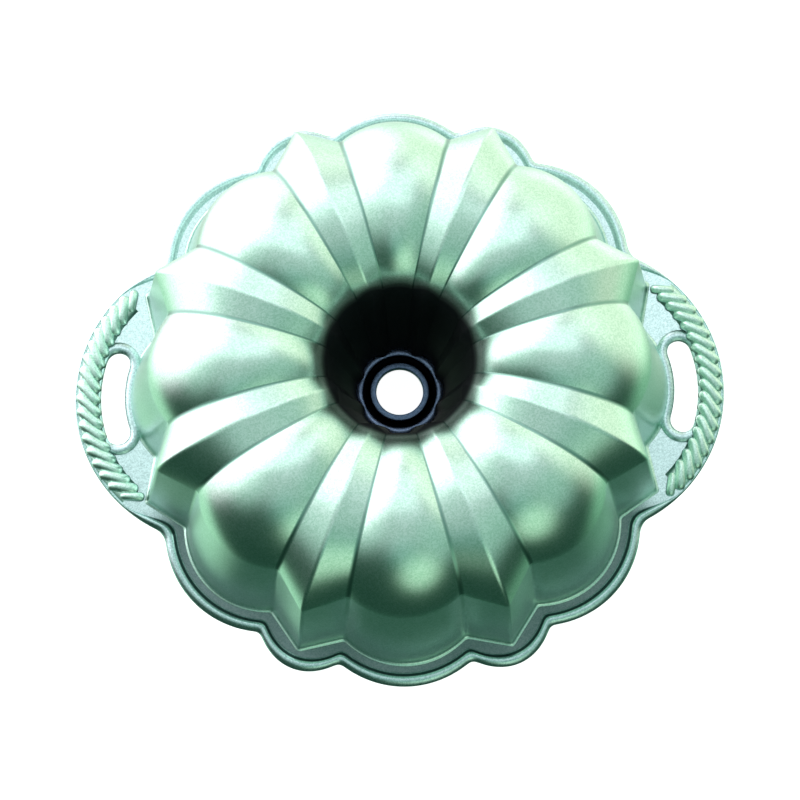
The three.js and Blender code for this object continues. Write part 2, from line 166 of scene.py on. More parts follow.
# The tree's last steps: one plain mesh with its material on.
def endTree(tree, geometry, material):
    realize = tree.nodes.new("GeometryNodeRealizeInstances")
    paint = tree.nodes.new("GeometryNodeSetMaterial")
    paint.inputs["Material"].default_value = material
    tree.links.new(geometry, realize.inputs["Geometry"])
    tree.links.new(realize.outputs["Geometry"], paint.inputs["Geometry"])
    tree.links.new(paint.outputs["Geometry"], tree.nodes.new("NodeGroupOutput").inputs[0])


# Runs a tree on a piece and keeps the result as the piece's plain mesh.
def runTree(piece, tree, identifiers, values):
    modifier = piece.modifiers.new(tree.name, "NODES")
    modifier.node_group = tree
    for label, value in values.items():
        modifier[identifiers[label]] = value
    bpy.context.view_layer.update()
    mesh = bpy.data.meshes.new_from_object(piece.evaluated_get(bpy.context.evaluated_depsgraph_get()))
    piece.modifiers.clear()
    mesh.name = piece.name
    piece.data = mesh
    faceOutward(mesh)
    return mesh


# Joins doubled points and turns the faces outward.
def faceOutward(mesh, smooth=True):
    bm = bmesh.new()
    bm.from_mesh(mesh)
    bmesh.ops.remove_doubles(bm, verts=bm.verts, dist=1e-7)
    bmesh.ops.recalc_face_normals(bm, faces=bm.faces)
    bm.to_mesh(mesh)
    bm.free()
    if smooth:
        mesh.polygons.foreach_set("use_smooth", [True] * len(mesh.polygons))
    mesh.update()


# The fluted shell: skirt, crown and centre tube in one skin.
pan = {
    "flutes": 8,
    "wall": 3.8,
    "rimThickness": 3.0,
    # radius and height on the lobes, in the creases and on the crests, and a ridge's half angle
    "foot": ((126.0, 0), (117.3, 0), (128.0, 0), 8.77),
    "belt": ((108.4, 74.9), (102.2, 74.9), (113.7, 74.9), 9.02),
    "apex": ((68.0, 105.5), (68.0, 101.5), (68.0, 104.0), 9.02),
    "throat": ((30.5, 78.0), (31.0, 78.0), (28.5, 78.0), 11.25),
    "tubeEnd": ((19.7, 1.0), (19.3, 1.0), (17.5, 1.0), 11.25),
    "skirtRows": 14,
    "outerRows": 20,
    "innerRows": 20,
    "tubeRows": 12,
    "lobeSteps": 20,
    "ridgeSteps": 5,
    "crestRounding": 1.3,   # from a crest or crease to where its rounding starts
    "beltRounding": 1.0,
    "roundingSteps": 4,
    "footFillet": 1.7,
}
flutePitch = 2 * math.pi / pan["flutes"]
ridgeAngle = flutePitch / 2


def mixLevels(a, b, share):
    pairs = [tuple(between(p, q, share) for p, q in zip(a[i], b[i])) for i in range(3)]
    return (*pairs, between(a[3], b[3], share))


# A round arc from the belt to the apex, level at the apex.
def outerArch(start, top, share):
    run, rise = start[0] - top[0], top[1] - start[1]
    radius = (run * run + rise * rise) / (2 * rise)
    angle = math.atan2(run, radius - rise) * (1 - share)
    return top[0] + radius * math.sin(angle), top[1] - radius * (1 - math.cos(angle))


# A quarter of an ellipse from the apex down to the throat.
def innerArch(top, end, share):
    angle = math.pi / 2 * share
    return top[0] - (top[0] - end[0]) * math.sin(angle), end[1] + (top[1] - end[1]) * math.cos(angle)


# The ridges widen towards the throat.
def crownHalfAngle(radius):
    wide, narrow = pan["throat"], pan["belt"]
    share = (narrow[1][0] - radius) / (narrow[1][0] - wide[1][0])
    return between(narrow[3], wide[3], share * share)


def archLevel(arch, a, b, share):
    spots = [arch(a[i], b[i], share) for i in range(3)]
    return (*spots, crownHalfAngle(spots[1][0]))


def shellLevels():
    levels = [pan["foot"]]
    for row in range(1, pan["skirtRows"] + 1):
        levels.append(mixLevels(pan["foot"], pan["belt"], row / pan["skirtRows"]))
    beltRow = len(levels) - 1
    for row in range(1, pan["outerRows"] + 1):
        levels.append(archLevel(outerArch, pan["belt"], pan["apex"], row / pan["outerRows"]))
    for row in range(1, pan["innerRows"] + 1):
        levels.append(archLevel(innerArch, pan["apex"], pan["throat"], row / pan["innerRows"]))
    for row in range(1, pan["tubeRows"] + 1):
        levels.append(mixLevels(pan["throat"], pan["tubeEnd"], row / pan["tubeRows"]))
    return levels, beltRow


# One level all round, with sharp corners. Each flute is a crest, flank, crease, lobe, crease and flank.
def sharpRing(level):
    lobe, valley, ridge, halfAngle = level
    crease = ridgeAngle - math.radians(halfAngle)
    points, corners = [], []

    def spot(radius, angle, height):
        return Vector((radius * math.cos(angle), radius * math.sin(angle), height))

    for flute in range(pan["flutes"]):
        middle = flute * flutePitch
        crest = spot(ridge[0], middle - ridgeAngle, ridge[1])
        creaseIn = spot(valley[0], middle - crease, valley[1])
        creaseOut = spot(valley[0], middle + crease, valley[1])
        nextCrest = spot(ridge[0], middle + ridgeAngle, ridge[1])
        corners.append(len(points))
        for step in range(pan["ridgeSteps"]):
            points.append(crest.lerp(creaseIn, step / pan["ridgeSteps"]))
        corners.append(len(points))
        for step in range(pan["lobeSteps"]):
            x = 2 * step / pan["lobeSteps"] - 1
            bulge = 1 - x * x
            radius = between(valley[0], lobe[0], bulge)
            points.append(spot(radius, middle + x * crease, between(valley[1], lobe[1], bulge)))
        corners.append(len(points))
        for step in range(pan["ridgeSteps"]):
            points.append(creaseOut.lerp(nextCrest, step / pan["ridgeSteps"]))
    return points, corners


# Sets each point back by the wall, so that all faces round it end up one wall deep.
def setBack(rings, wall):
    result = []
    columns = len(rings[0])
    for row, ring in enumerate(rings):
        line = []
        for column, point in enumerate(ring):
            faces = []
            for up in (-1, 1):
                if not 0 <= row + up < len(rings):
                    continue
                for side in (-1, 1):
                    across = ring[(column + side) % columns] - point
                    along = rings[row + up][column] - point
                    faces.append(across.cross(along).normalized() * (up * side))
            mean = sum(faces, Vector()).normalized()
            lean = sum(face.dot(mean) for face in faces) / len(faces)
            line.append(point - mean * (wall / lean))
        result.append(line)
    for row, beside in ((0, 1), (-1, -2)):  # both open edges stay level
        for column, point in enumerate(result[row]):
            other, height = result[beside][column], rings[row][column].z
            result[row][column] = point.lerp(other, (height - point.z) / (other.z - point.z))
    return result


def shellSkin(rings, corners, beltRow):
    steps = pan["roundingSteps"]
    rounded = [roundCorners(ring, set(corners), pan["crestRounding"], steps) for ring in rings]
    columns = []
    for column in range(len(rounded[0])):
        line = [ring[column] for ring in rounded]
        columns.append(roundCorners(line, {beltRow}, pan["beltRounding"], steps))
    return [[line[row] for line in columns] for row in range(len(columns[0]))]


# The wall flares into the rim's flat ledge with a small round fillet.
def footRings(skin):
    low, high = skin[0], skin[1]
    ledge, fillet = pan["rimThickness"], pan["footFillet"]
    rings = [list(low)]
    marks = [(ledge - 0.1, 0), (ledge - 0.1, fillet)]
    for step in range(7):
        angle = math.pi / 2 * step / 6
        marks.append((ledge + fillet * (1 - math.cos(angle)), fillet * (1 - math.sin(angle))))
    for height, flare in marks:
        ring = []
        for a, b in zip(low, high):
            point = a.lerp(b, height / b.z)
            outward = Vector((point.x, point.y, 0)).normalized()
            ring.append(point + outward * flare)
        rings.append(ring)
    return rings + [list(ring) for ring in skin[1:]]


# How dark each column is: painted shade along the bottom of each crease on the crown.
def creaseShadeMarks(count, corners):
    creases = set(corners[1::3] + corners[2::3])
    marks = []
    for column in range(count):
        if column in creases:
            marks += [0.0, 0.3, 0.8, 1.0, 0.8, 0.3, 0.0]
        elif column in corners:
            marks += [0.0] * 7
        else:
            marks.append(0.0)
    return marks


# Geometry Nodes: copies of one flute stand round the axis and join where they meet.
def fluteTree(material):
    tree, source, identifiers = startTree("flutesAround", (
        ("Flutes", "NodeSocketInt", 8),
        ("Join Within", "NodeSocketFloat", 0.000001),
    ))
    new, link = tree.nodes.new, tree.links.new
    middles = new("GeometryNodePoints")
    link(source.outputs["Flutes"], middles.inputs["Count"])
    turn = new("ShaderNodeCombineXYZ")
    pitch = wireMath(tree, "DIVIDE", 2 * math.pi, source.outputs["Flutes"])
    link(wireMath(tree, "MULTIPLY", new("GeometryNodeInputIndex").outputs[0], pitch), turn.inputs["Z"])
    copies = new("GeometryNodeInstanceOnPoints")
    link(middles.outputs[0], copies.inputs["Points"])
    link(source.outputs["Geometry"], copies.inputs["Instance"])
    link(turn.outputs[0], copies.inputs["Rotation"])
    plain = new("GeometryNodeRealizeInstances")
    link(copies.outputs[0], plain.inputs[0])
    join = new("GeometryNodeMergeByDistance")
    link(plain.outputs[0], join.inputs["Geometry"])
    link(source.outputs["Join Within"], join.inputs["Distance"])
    endTree(tree, join.outputs[0], material)
    return tree, identifiers


# One flute as a strip of faces, from the foot over the crown and down the tube, and back along the inside.
def makeShell(material):
    levels, beltRow = shellLevels()
    made = [sharpRing(level) for level in levels]
    rings, corners = [points for points, _ in made], made[0][1]
    outer = footRings(shellSkin(rings, corners, beltRow))
    inner = shellSkin(setBack(rings, pan["wall"]), corners, beltRow)
    width = len(outer[0]) // pan["flutes"] + 1
    rows = [ring[:width] for ring in outer + inner[::-1]]
    points = [point for row in rows for point in row]
    faces = gridFaces(len(rows), width, closedRows=True, closedColumns=False)
    lining = [0.0] * (len(outer) * width) + [1.0] * (len(inner) * width)
    bare = len(outer) - len(levels) + pan["skirtRows"] + 1  # rows up to the belt have no crease lines
    line = creaseShadeMarks(len(rings[0]), corners)[:width]
    creases = [0.0] * (bare * width) + line * (len(outer) - bare) + [0.0] * (len(inner) * width)
    marks = {"lining": lining, "crease": creases}
    piece = addObject("panShell", makeMesh("panShell", points, faces, marks))
    tree, identifiers = fluteTree(material)
    runTree(piece, tree, identifiers, {"Flutes": pan["flutes"]})
    return piece


# The rim: its ledge, its bead and what it does beside the handles.
rim = {
    "lobeWidth": 10.1,      # from the wall to the outer edge, in the middle of a lobe
    "creaseWidth": 11.1,
    "crestWidth": 9.0,
    "bead": 6.3,
    "beadHeight": 5.3,
    "lip": 1.5,             # what the bead narrows to outside a handle's rope
    "lipHeight": 3.5,
    "narrowFrom": 28.0,     # degrees from the line through the handles
    "narrowTo": 20.5,
    "shadedFlank": (0.7, 0.95),  # the strip that gets painted shade, as shares of the bead's width
    "rearShading": 0.3,        # how much of its painted shade is left at the rear
    "smoothing": 3,
    "steps": 720,
}
# A handle's outer edge is an arc about a point on the X axis.
handle = {
    "radius": 69.0,
    "reach": 151.95,        # of the outer edge from the pan's axis
    "joinsRim": 23.5,       # degrees from the line through the handles
}
handleCentre = handle["reach"] - handle["radius"]
footLobe, footCrease, footCrest = (pan["foot"][i][0] for i in range(3))
footHalfAngle = math.radians(pan["foot"][3])


def angleInFlute(angle):
    return abs((angle + ridgeAngle) % flutePitch - ridgeAngle)


def footRadius(angle):
    a, crease = angleInFlute(angle), ridgeAngle - footHalfAngle
    if a < crease:
        return between(footCrease, footLobe, 1 - (a / crease) ** 2)
    chord = footCrease * footCrest * math.sin(footHalfAngle)
    return chord / (footCrease * math.sin(a - crease) + footCrest * math.sin(ridgeAngle - a))


def rimRadius(angle):
    a, crease = angleInFlute(angle), ridgeAngle - footHalfAngle
    notch = footCrease + rim["creaseWidth"]
    if a < crease:
        return between(notch, footLobe + rim["lobeWidth"], 1 - (a / crease) ** 2)
    return between(notch, footCrest + rim["crestWidth"], 1 - ((ridgeAngle - a) / footHalfAngle) ** 2)


# The angle from the line through both handles, 0 to 90 degrees.
def fromHandles(angle):
    return abs((angle + math.pi / 2) % math.pi - math.pi / 2)


def handleOutline(angle):
    across = handleCentre * math.sin(angle)
    return handleCentre * math.cos(angle) + math.sqrt(handle["radius"] ** 2 - across ** 2)


def rimEdge(angle):
    aside, edge = fromHandles(angle), rimRadius(angle)
    if aside > ridgeAngle + footHalfAngle:
        return edge
    onHandle = handleOutline(aside)
    if aside < math.radians(handle["joinsRim"]):
        return onHandle
    return max(footCrease + rim["creaseWidth"], min(edge, onHandle))


def beadWidthAt(angle):
    aside = math.degrees(fromHandles(angle))
    return between(rim["lip"], rim["bead"], smoothStep(rim["narrowTo"], rim["narrowFrom"], aside))


def beadHeightAt(angle):
    aside = math.degrees(fromHandles(angle))
    share = smoothStep(rim["narrowTo"], rim["narrowFrom"], aside)
    return between(rim["lipHeight"], rim["beadHeight"], share)


# The bead's section, as shares of its width from the outer edge inward and of its height.
beadSection = [
    (0.03, 0), (0, 0.06), (0, 0.38), (0.02, 0.52), (0.08, 0.66), (0.17, 0.8), (0.29, 0.92), (0.4, 0.98),
    (0.52, 1), (0.6, 0.98), (0.68, 0.92), (0.75, 0.82), (0.83, 0.69), (0.9, 0.61), (1, 0.565), (1, 0),
]


def smoothLoop(values, passes):
    count = len(values)
    for _ in range(passes):
        values = [(values[i - 1] + 2 * values[i] + values[(i + 1) % count]) / 4 for i in range(count)]
    return values


def rimContour():
    steps = rim["steps"]
    angles = [2 * math.pi * i / steps for i in range(steps)]
    radii = smoothLoop([rimEdge(a) for a in angles], rim["smoothing"])
    return angles, radii


rimAngles, rimRadii = rimContour()


# How much painted shade the bead's inner flank gets: shade in the channel by the ledge, most at the front
# where it stands in for the pan's own shadow, and none beside the handles.
def flankShadeMark(inward, angle):
    start, end = rim["shadedFlank"]
    if not start < inward < end:
        return 0.0
    front = between(rim["rearShading"], 1.0, smoothStep(-0.4, 0.4, -math.sin(angle)))
    aside = math.degrees(fromHandles(angle))
    return front * smoothStep(rim["narrowTo"] + 2, rim["narrowFrom"], aside)


def makeRimBead():
    rows = []
    for inward, height in beadSection:
        ring = []
        for angle, edge in zip(rimAngles, rimRadii):
            radius = edge - inward * beadWidthAt(angle)
            tall = height * beadHeightAt(angle)
            ring.append(Vector((radius * math.cos(angle), radius * math.sin(angle), tall)))
        rows.append(ring)
    points = [point for ring in rows for point in ring]
    marks = [flankShadeMark(inward, angle) for inward, _ in beadSection for angle in rimAngles]
    faces = gridFaces(len(rows), rim["steps"], closedRows=True)
    return addObject("rimBead", makeMesh("rimBead", points, faces, {"flank": marks}))


rimBead = makeRimBead()


# The finger slot through each handle and the raised bead about it.
slot = {
    "radius": 51.25,        # of its middle line, about the handle's centre
    "width": 11.5,
    "halfAngle": 18.3,
    "bead": 4.7,
    "beadHeight": 2.5,
}


# The curved slot's outline: two arcs and two round ends.
def slotOutline(grow, side, arcSteps=28, endSteps=14):
    half = slot["width"] / 2 + grow
    end = math.radians(slot["halfAngle"])
    outline = []

    def arc(centre, radius, start, stop, steps):
        for step in range(steps):
            angle = between(start, stop, step / steps)
            outline.append(centre + Vector((math.cos(angle), math.sin(angle), 0)) * radius)

    middle = Vector((handleCentre, 0, 0))
    top = middle + Vector((math.cos(end), math.sin(end), 0)) * slot["radius"]
    bottom = middle + Vector((math.cos(end), -math.sin(end), 0)) * slot["radius"]
    arc(middle, slot["radius"] + half, -end, end, arcSteps)
    arc(top, half, end, end + math.pi, endSteps)
    arc(middle, slot["radius"] - half, end, -end, arcSteps)
    arc(bottom, half, math.pi - end, 2 * math.pi - end, endSteps)
    return [point * side for point in outline]


# The flat flange: the ledge round the wall and both handles' plates, with the slots cut through.
def makeFlange():
    data = bpy.data.curves.new("rimFlange", "CURVE")
    data.dimensions = "2D"
    data.fill_mode = "BOTH"
    data.extrude = pan["rimThickness"] / 2 * mm
    outer = [(r - 0.5 * beadWidthAt(a), a) for r, a in zip(rimRadii, rimAngles)]
    inner = [(footRadius(a) - 0.4, a) for a in rimAngles]
    loops = [[(r * math.cos(a), r * math.sin(a)) for r, a in ring] for ring in (outer, inner)]
    loops += [[(p.x, p.y) for p in slotOutline(0, side)] for side in (1, -1)]
    for loop in loops:
        spline = data.splines.new("POLY")
        spline.points.add(len(loop) - 1)
        spline.points.foreach_set("co", [value for x, y in loop for value in (x * mm, y * mm, 0, 1)])
        spline.use_cyclic_u = True
    curve = bpy.data.objects.new("rimFlange", data)
    bpy.context.scene.collection.objects.link(curve)
    bpy.context.view_layer.update()
    mesh = bpy.data.meshes.new_from_object(curve.evaluated_get(bpy.context.evaluated_depsgraph_get()))
    bpy.data.objects.remove(curve)
    mesh.transform(Matrix.Translation((0, 0, pan["rimThickness"] / 2 * mm)))
    faceOutward(mesh, smooth=False)
    mesh.name = "rimFlange"
    return addObject("rimFlange", mesh)


rimFlange = makeFlange()
print("rim made,", len(rimFlange.data.polygons), "faces in its flange")

# The section of the bead round a slot, as shares of its width outward and of its height.
slotBeadSection = [
    (0, -0.3), (0, 0.35), (0.05, 0.6), (0.14, 0.8), (0.27, 0.94), (0.42, 1), (0.57, 0.97), (0.7, 0.87),
    (0.81, 0.68), (0.9, 0.42), (0.97, 0.14), (1.02, -0.05), (1.02, -0.3),
]


# A closed line of points in millimetres, as a mesh of edges.
def makeLoop(name, points):
    mesh = bpy.data.meshes.new(name)
    edges = [(i, (i + 1) % len(points)) for i in range(len(points))]
    mesh.from_pydata([Vector(p) * mm for p in points], edges, [])
    return addObject(name, mesh)


# Geometry Nodes: a section follows the piece's own closed line, upright all the way.
def beadTree(section, material):
    tree, source, identifiers = startTree("beadOnLine", (
        ("Bead Width", "NodeSocketFloat", 0.0047),
        ("Bead Height", "NodeSocketFloat", 0.0025),
    ))
    new, link = tree.nodes.new, tree.links.new
    line = new("GeometryNodeMeshToCurve")
    link(source.outputs["Geometry"], line.inputs["Mesh"])
    upright = new("GeometryNodeSetCurveNormal")
    upright.mode = "Z_UP"
    link(line.outputs["Curve"], upright.inputs["Curve"])
    info = new("GeometryNodeObjectInfo")
    info.inputs["Object"].default_value = section
    size = new("ShaderNodeCombineXYZ")
    link(source.outputs["Bead Width"], size.inputs["X"])
    link(source.outputs["Bead Height"], size.inputs["Y"])
    size.inputs["Z"].default_value = 1
    sized = new("GeometryNodeTransform")
    link(info.outputs["Geometry"], sized.inputs["Geometry"])
    link(size.outputs[0], sized.inputs["Scale"])
    profile = new("GeometryNodeMeshToCurve")
    link(sized.outputs["Geometry"], profile.inputs["Mesh"])
    sweep = new("GeometryNodeCurveToMesh")
    link(upright.outputs["Curve"], sweep.inputs["Curve"])
    link(profile.outputs["Curve"], sweep.inputs["Profile Curve"])
    endTree(tree, sweep.outputs["Mesh"], material)
    return tree, identifiers


def makeSlotBeads(material):
    corners = [Vector((across, height, 0)) / mm for across, height in slotBeadSection]
    section = makeLoop("beadSection", corners)
    tree, identifiers = beadTree(section, material)
    beads = {}
    for side, way in (("right", 1), ("left", -1)):
        line = slotOutline(0, way)
        for point in line:
            point.z = pan["rimThickness"]
        beads[side] = makeLoop(side + "SlotBead", line)
        sizes = {"Bead Width": slot["bead"] * mm, "Bead Height": slot["beadHeight"] * mm}
        runTree(beads[side], tree, identifiers, sizes)
    bpy.data.objects.remove(section)
    return beads


# The floor of the tube, with a collar about the hole and a groove about the collar.
tubeFloor = {
    "holeRadius": 10.9,
    "collarWidth": 2.9,
    "grooveWidth": 3.0,
    "collarTop": 5.0,
    "floorTop": 5.0,
    "grooveFloor": 2.5,
    "low": 1.0,
    "rounding": 0.5,
    "collarSides": 96,
}


def makeTubeFloor():
    t = tubeFloor
    grooveIn = t["holeRadius"] + t["collarWidth"] - 0.2
    grooveOut = grooveIn + t["grooveWidth"] + 0.4
    end, throat = pan["tubeEnd"], pan["throat"]
    share = (t["floorTop"] - end[0][1]) / (throat[0][1] - end[0][1])
    lowRing, _ = sharpRing(end)
    highRing, _ = sharpRing(mixLevels(end, throat, share))
    soft = t["rounding"]
    rows = [[] for _ in range(8)]
    for low, high in zip(lowRing, highRing):
        way = Vector((low.x, low.y, 0)).normalized()
        edge = Vector((high.x, high.y, 0)).length + 0.3
        shelf = min(grooveOut, edge - 0.6)
        marks = (
            (grooveIn, t["low"]),
            (grooveIn, t["grooveFloor"]),
            (shelf - soft, t["grooveFloor"]),
            (shelf, t["grooveFloor"] + soft),
            (shelf, t["floorTop"] - soft),
            (shelf + soft, t["floorTop"]),
            (edge, t["floorTop"]),
            (Vector((low.x, low.y, 0)).length + 0.3, t["low"]),
        )
        for row, (radius, height) in zip(rows, marks):
            row.append(way * radius + Vector((0, 0, height)))
    points = [point for row in rows for point in row]
    faces = gridFaces(len(rows), len(lowRing), closedRows=True)
    return addObject("tubeFloor", makeMesh("tubeFloor", points, faces))


# A round collar whose top has soft edges.
def makeTubeCollar():
    t = tubeFloor
    inner, outer, soft = t["holeRadius"], t["holeRadius"] + t["collarWidth"], t["rounding"]
    profile = [(inner, t["low"]), (outer, t["low"]), (outer, t["collarTop"] - soft)]
    for middle, start in ((outer - soft, 0), (inner + soft, math.pi / 2)):
        for step in range(5):
            angle = start + math.pi / 2 * step / 4
            height = t["collarTop"] - soft + soft * math.sin(angle)
            profile.append((middle + soft * math.cos(angle), height))
    turns = [2 * math.pi * i / t["collarSides"] for i in range(t["collarSides"])]
    points = [Vector((r * math.cos(a), r * math.sin(a), height)) for r, height in profile for a in turns]
    faces = gridFaces(len(profile), len(turns), closedRows=True)
    return addObject("tubeCollar", makeMesh("tubeCollar", points, faces))


tubeFloorPiece = makeTubeFloor()
tubeCollar = makeTubeCollar()
print("tube floor made")


# The rope in relief along a handle's outer side.
rope = {
    "width": 11.3,
    "inset": 1.0,           # from the handle's outer edge
    "height": 4.4,
    "strands": 18,
    "strandPitch": 6.1,
    "skew": 1.34,           # along the rope for each millimetre across it
    "strandFill": 1.6,      # over 1, neighbouring strands run into each other
    "strandShort": 1.1,     # the strands' round ends reach further than their middle line
    "strandSteps": 14,
    "strandSides": 8,
    "coreHeight": 2.1,      # of the low core under the strands
    "coreWidth": 0.95,      # share of the rope's width
    "coreLength": 0.92,     # share of the rope's length
    "endScale": 0.45,       # of the strands at both ends
    "sink": 0.3,            # into the plate
}


# One strand: a slanted half-round bar across the rope, highest in the middle of the rope.
def makeStrand():
    half = rope["width"] / 2 - rope["strandShort"]
    thick = rope["strandPitch"] * math.sin(math.atan(1 / rope["skew"])) / 2 * rope["strandFill"]
    side = Vector((1, -rope["skew"], 0)).normalized()
    rows = []
    steps, ringSteps = rope["strandSteps"], rope["strandSides"]
    for step in range(steps + 1):
        x = math.sin(math.pi / 2 * (2 * step / steps - 1))
        swell = max(0, 1 - x ** 8) ** 0.5
        middle = Vector((rope["skew"] * x * half, x * half, 0))
        tall = rope["height"] * (0.3 + 0.7 * math.sqrt(1 - (0.9 * x) ** 2))
        ring = []
        for k in range(ringSteps + 1):
            angle = math.pi * k / ringSteps
            bulge = math.sin(angle) ** 0.8 if 0 < k < ringSteps else 0
            lift = tall * bulge * (0.25 + 0.75 * swell)
            ring.append(middle + side * (thick * swell * math.cos(angle)) + Vector((0, 0, lift)))
        rows.append(ring)
    points = [point for ring in rows for point in ring]
    faces = gridFaces(len(rows), ringSteps + 1, closedColumns=False)
    for row in range(steps):
        here, above = row * (ringSteps + 1), (row + 1) * (ringSteps + 1)
        faces.append((here, above, above + ringSteps, here + ringSteps))
    return addObject("strand", makeMesh("strand", points, faces))


# Geometry Nodes: strands stand side by side on an arc, lower and narrower towards its ends.
def ropeTree(strand, material):
    tree, source, identifiers = startTree("ropeStrands", (
        ("Strands", "NodeSocketInt", 18),
        ("Radius", "NodeSocketFloat", 0.06235),
        ("Half Length", "NodeSocketFloat", 0.055),
        ("Centre", "NodeSocketFloat", 0.083),
        ("End Scale", "NodeSocketFloat", 0.45),
        ("Base", "NodeSocketFloat", 0.003),
        ("Core Radius", "NodeSocketFloat", 0.0055),
        ("Core Height", "NodeSocketFloat", 0.0022),
    ))
    new, link = tree.nodes.new, tree.links.new

    def calc(operation, *values):
        return wireMath(tree, operation, *values)

    points = new("GeometryNodePoints")
    link(source.outputs["Strands"], points.inputs["Count"])
    index = new("GeometryNodeInputIndex").outputs[0]
    share = calc("DIVIDE", calc("ADD", index, 0.5), source.outputs["Strands"])  # 0 to 1 along the rope
    signed = calc("SUBTRACT", calc("MULTIPLY", share, 2.0), 1.0)
    along = calc("MULTIPLY", signed, source.outputs["Half Length"])
    angle = calc("DIVIDE", along, source.outputs["Radius"])
    place = new("ShaderNodeCombineXYZ")
    reach = calc("MULTIPLY", calc("COSINE", angle), source.outputs["Radius"])
    link(calc("ADD", reach, source.outputs["Centre"]), place.inputs["X"])
    link(calc("MULTIPLY", calc("SINE", angle), source.outputs["Radius"]), place.inputs["Y"])
    link(source.outputs["Base"], place.inputs["Z"])
    setPlace = new("GeometryNodeSetPosition")
    link(points.outputs[0], setPlace.inputs["Geometry"])
    link(place.outputs[0], setPlace.inputs["Position"])
    turn = new("ShaderNodeCombineXYZ")
    link(calc("SUBTRACT", angle, math.pi / 2), turn.inputs["Z"])
    # full size in the middle, down to the end scale over the last two strands
    edge = calc("MINIMUM", calc("MULTIPLY", calc("SUBTRACT", 1.0, calc("ABSOLUTE", signed)), 5.0), 1.0)
    swell = calc("POWER", edge, 0.45)
    room = calc("SUBTRACT", 1.0, source.outputs["End Scale"])
    size = calc("ADD", source.outputs["End Scale"], calc("MULTIPLY", swell, room))
    scale = new("ShaderNodeCombineXYZ")
    for axis in ("X", "Y", "Z"):
        link(size, scale.inputs[axis])
    info = new("GeometryNodeObjectInfo")
    info.inputs["Object"].default_value = strand
    instance = new("GeometryNodeInstanceOnPoints")
    link(setPlace.outputs[0], instance.inputs["Points"])
    link(info.outputs["Geometry"], instance.inputs["Instance"])
    link(turn.outputs[0], instance.inputs["Rotation"])
    link(scale.outputs[0], instance.inputs["Scale"])
    # a low round core under the strands
    arc = new("GeometryNodeCurveArc")
    arc.inputs["Resolution"].default_value = 96
    link(source.outputs["Radius"], arc.inputs["Radius"])
    halfSweep = calc("DIVIDE", source.outputs["Half Length"], source.outputs["Radius"])
    link(calc("MULTIPLY", halfSweep, -rope["coreLength"]), arc.inputs["Start Angle"])
    link(calc("MULTIPLY", halfSweep, 2 * rope["coreLength"]), arc.inputs["Sweep Angle"])
    circle = new("GeometryNodeCurvePrimitiveCircle")
    circle.inputs["Resolution"].default_value = 20
    link(source.outputs["Core Radius"], circle.inputs["Radius"])
    core = new("GeometryNodeCurveToMesh")
    link(arc.outputs["Curve"], core.inputs["Curve"])
    link(circle.outputs["Curve"], core.inputs["Profile Curve"])
    core.inputs["Fill Caps"].default_value = True
    flatten = new("GeometryNodeTransform")
    flat = new("ShaderNodeCombineXYZ")
    flat.inputs["X"].default_value = 1
    flat.inputs["Y"].default_value = 1
    link(calc("DIVIDE", source.outputs["Core Height"], source.outputs["Core Radius"]), flat.inputs["Z"])
    link(flat.outputs[0], flatten.inputs["Scale"])
    link(core.outputs["Mesh"], flatten.inputs["Geometry"])
    corePlace = new("ShaderNodeCombineXYZ")
    link(source.outputs["Centre"], corePlace.inputs["X"])
    link(source.outputs["Base"], corePlace.inputs["Z"])
    link(corePlace.outputs[0], flatten.inputs["Translation"])
    join = new("GeometryNodeJoinGeometry")
    link(instance.outputs[0], join.inputs[0])
    link(flatten.outputs[0], join.inputs[0])
    endTree(tree, join.outputs[0], material)
    return tree, identifiers


def makeRopes(material):
    strand = makeStrand()
    tree, identifiers = ropeTree(strand, material)
    ropeRadius = handle["radius"] - rope["inset"] - rope["width"] / 2
    ropes = {}
    for side in ("right", "left"):
        ropes[side] = addObject(side + "Rope", bpy.data.meshes.new(side + "Rope"))
        mesh = runTree(ropes[side], tree, identifiers, {
            "Strands": rope["strands"],
            "Radius": ropeRadius * mm,
            "Half Length": rope["strands"] * rope["strandPitch"] / 2 * mm,
            "Centre": handleCentre * mm,
            "End Scale": rope["endScale"],
            "Base": (pan["rimThickness"] - rope["sink"]) * mm,
            "Core Radius": rope["width"] / 2 * rope["coreWidth"] * mm,
            "Core Height": rope["coreHeight"] * mm,
        })
        if side == "left":
            mesh.transform(Matrix.Rotation(math.pi, 4, "Z"))
    bpy.data.objects.remove(strand)
    return ropes


def newMaterial(name):
    material = bpy.data.materials.new(name)
    material.use_nodes = True
    tree = material.node_tree
    return material, tree, tree.nodes["Principled BSDF"]


def addNode(tree, kind, **settings):
    node = tree.nodes.new(kind)
    for name, value in settings.items():
        if hasattr(node, name):
            setattr(node, name, value)
        else:
            node.inputs[name.replace("_", " ")].default_value = value
    return node


# Each finish: its darkest and lightest grain, how rough it is and how strong its ripple.
finishes = {
    "castSilver": ((0.53, 0.77, 0.65), (0.71, 0.92, 0.83), 0.30, 0.03),
    "satinRim": ((0.46, 0.64, 0.64), (0.68, 0.88, 0.88), 0.32, 0.12),
    "satinBead": ((0.46, 0.64, 0.64), (0.68, 0.88, 0.88), 0.32, 0.12),
    "dullLedge": ((0.54, 0.72, 0.71), (0.76, 0.95, 0.95), 0.32, 0.12),
    "ropeSilver": ((0.52, 0.76, 0.66), (0.74, 0.96, 0.86), 0.36, 0.1),
    # painted shade at the bottom of the funnel: the tube floor and its collar are the same cast metal,
    # given darker, bluer tones
    "darkTube": ((0.26, 0.36, 0.55), (0.42, 0.54, 0.80), 0.5, 0.1),
    "collarBlue": ((0.09, 0.14, 0.22), (0.15, 0.22, 0.34), 0.4, 0.1),
}
castGrain = {
    "flakes": 1900.0,       # bright grains to the metre
    "ripples": 800.0,
    "patches": 60.0,
    "patchShare": 0.08,     # of the colour's change that the patches make; the grains make the rest
    "glossChange": 0.012,
    "rippleDepth": 0.0003,
}


